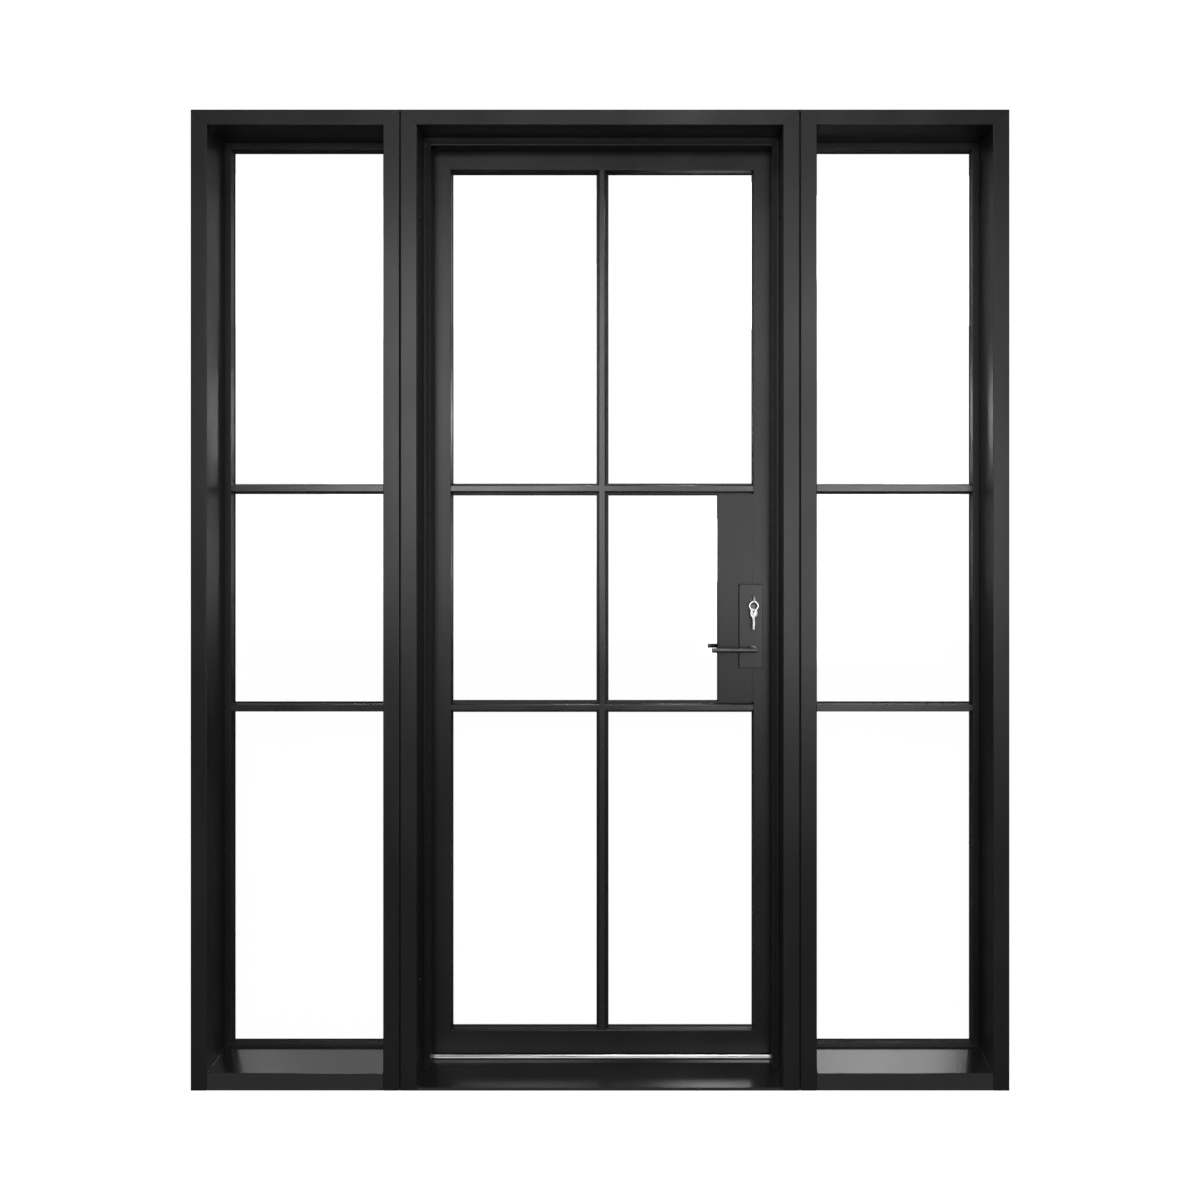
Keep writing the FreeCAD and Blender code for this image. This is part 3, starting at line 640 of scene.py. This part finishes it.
face_screw_inset = 0.012
face_screw_radius = 0.0038
face_screw_rise = 0.0004
forend_low, forend_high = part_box("lock_forend")
strike_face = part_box("strike_plate")[0][0]
face_middle = (forend_low[1] + forend_high[1]) / 2
forend_screws = bmesh.new()
strike_screws = bmesh.new()
for height in (forend_low[2] + face_screw_inset, forend_high[2] - face_screw_inset):
    for shape, x, facing in ((forend_screws, forend_high[0], 1), (strike_screws, strike_face, -1)):
        screw_head(shape, (x, face_middle, height), (facing, 0, 0), face_screw_radius, face_screw_rise)
finish_piece("forend_screws", forend_screws, nickel, "leaf")
finish_piece("strike_screws", strike_screws, nickel, "frame")

# Studio. A pale floor and a white background, soft lamps on the street side and behind the wall, and the camera
# at the photographer's place. The floor and the background look white only where the camera sees them straight
# or through a pane, so that the black steel reflects the lamps alone.
camera_place = Vector((0.117, -2.333, 1.336))
street_lamps = -4.6
room_lamps = 2.64
room_lamp_height = 3.1
focal_length = 26.22
sensor = 36.0
photo_size = 1200
vanishing_point = (645.4, 572.4)
floor_half = 14
floor_white = 0.93
floor_glow = 1.15
room_light = 0.07
backdrop_white = 1.1

floor_mesh = bmesh.new()
bmesh.ops.create_grid(floor_mesh, x_segments=1, y_segments=1, size=floor_half)
floor_data = bpy.data.meshes.new("studio_floor")
floor_mesh.to_mesh(floor_data)
floor = bpy.data.objects.new("studio_floor", floor_data)
bpy.context.scene.collection.objects.link(floor)
floor_paint, floor_tree = new_material("studio_floor")
wire(floor_tree, Base_Color=grey(0.26), Roughness=0.9, Specular_IOR_Level=0.0)
floor_data.materials.append(floor_paint)
output = floor_tree.nodes["Material Output"]
white = add(floor_tree, "ShaderNodeEmission", Color=(1, 1, 1, 1), Strength=floor_glow)
mix = add(floor_tree, "ShaderNodeMixShader")


def seen_by_camera(tree, share):
    """A factor that is share where the camera looks straight or through a pane, and 0 for all other light."""
    rays = add(tree, "ShaderNodeLightPath")
    straight = add(tree, "ShaderNodeMath", operation="LESS_THAN")
    straight.inputs[1].default_value = 0.5
    bounces = add(tree, "ShaderNodeMath", operation="ADD")
    tree.links.new(rays.outputs["Glossy Depth"], bounces.inputs[0])
    tree.links.new(rays.outputs["Diffuse Depth"], bounces.inputs[1])
    tree.links.new(bounces.outputs[0], straight.inputs[0])
    either = add(tree, "ShaderNodeMath", operation="MAXIMUM")
    tree.links.new(rays.outputs["Is Camera Ray"], either.inputs[0])
    tree.links.new(rays.outputs["Is Transmission Ray"], either.inputs[1])
    both = add(tree, "ShaderNodeMath", operation="MULTIPLY")
    tree.links.new(straight.outputs[0], both.inputs[0])
    tree.links.new(either.outputs[0], both.inputs[1])
    shared = add(tree, "ShaderNodeMath", operation="MULTIPLY")
    shared.inputs[1].default_value = share
    tree.links.new(both.outputs[0], shared.inputs[0])
    return shared.outputs[0]


floor_tree.links.new(seen_by_camera(floor_tree, floor_white), mix.inputs["Fac"])
floor_tree.links.new(floor_tree.nodes["surface"].outputs["BSDF"], mix.inputs[1])
floor_tree.links.new(white.outputs["Emission"], mix.inputs[2])
floor_tree.links.new(mix.outputs["Shader"], output.inputs["Surface"])

world = bpy.data.worlds.new("studio")
bpy.context.scene.world = world
world.use_nodes = True
sky = world.node_tree
backdrop = sky.nodes["Background"]
level = spread(sky, seen_by_camera(sky, 1.0), room_light, backdrop_white, 0.0, 1.0)
sky.links.new(level, backdrop.inputs["Strength"])
backdrop.inputs["Color"].default_value = (1, 1, 1, 1)


def softbox(name, place, aim, width, height, power):
    """A soft lamp at a place, turned to an aim."""
    lamp = bpy.data.lights.new(name, "AREA")
    lamp.shape = "RECTANGLE"
    lamp.size = width
    lamp.size_y = height
    lamp.energy = power
    holder = bpy.data.objects.new(name, lamp)
    bpy.context.scene.collection.objects.link(holder)
    holder.location = place
    holder.rotation_euler = (Vector(aim) - Vector(place)).to_track_quat("-Z", "Y").to_euler()


softbox("street_left", (-1.3, street_lamps, 2.5), (0, 0, 1.4), 2.2, 2.7, 66)
softbox("street_right_low", (1.5, street_lamps, 1.3), (0, 0, 1.4), 2.0, 1.4, 34)
softbox("street_right_high", (1.5, street_lamps, 3.35), (0, 0, 1.4), 2.0, 0.9, 22)
softbox("street_right_small", (2.4, street_lamps, 2.1), (0, 0, 1.4), 0.7, 0.6, 9)
softbox("street_side", (4.5, -1.5, 1.0), (0, 0, 1.4), 1.6, 1.4, 14)
softbox("street_key_side", (-3.5, -0.55, 1.05), (0.4, -0.06, 1.2), 0.5, 0.5, 8)
softbox("street_top", (0.2, -1.15, 4.8), (0.2, 0, 1.2), 1.0, 0.6, 32)
softbox("room_right_high", (1.62, room_lamps, room_lamp_height), (0.8, 0, 0.05), 1.05, 0.9, 5.2)
softbox("room_left_high", (-1.85, room_lamps, room_lamp_height), (-0.8, 0, 0.05), 1.1, 0.9, 1.6)
softbox("room_far_left", (-2.75, room_lamps, room_lamp_height), (-1.0, 0, 0.05), 0.7, 0.9, 1.0)
softbox("room_middle_high", (0.58, room_lamps, room_lamp_height), (0.2, 0, 0.0), 0.6, 0.9, 2.0)
softbox("room_ledge", (0.62, room_lamps, 1.46), (0.3, 0, 0.1), 0.5, 0.4, 2.0)
softbox("room_middle_left", (-0.6, room_lamps, room_lamp_height), (-0.1, 0, 0.0), 0.8, 0.9, 0.55)
softbox("room_low", (0.32, room_lamps, 2.21), (0, 0, 1.4), 0.24, 0.38, 3.1)
softbox("lever_top", (0.33, -0.4, 3.0), (0.33, -0.05, 1.13), 0.24, 0.1, 1.8)

lens = bpy.data.cameras.new("camera")
lens.lens = focal_length
lens.sensor_width = sensor
lens.shift_x = -(vanishing_point[0] - photo_size / 2) / photo_size
lens.shift_y = (vanishing_point[1] - photo_size / 2) / photo_size
camera = bpy.data.objects.new("camera", lens)
camera.location = camera_place
camera.rotation_euler = (math.radians(90), 0, 0)
bpy.context.scene.collection.objects.link(camera)
bpy.context.scene.camera = camera
bpy.context.scene.view_settings.view_transform = "Standard"
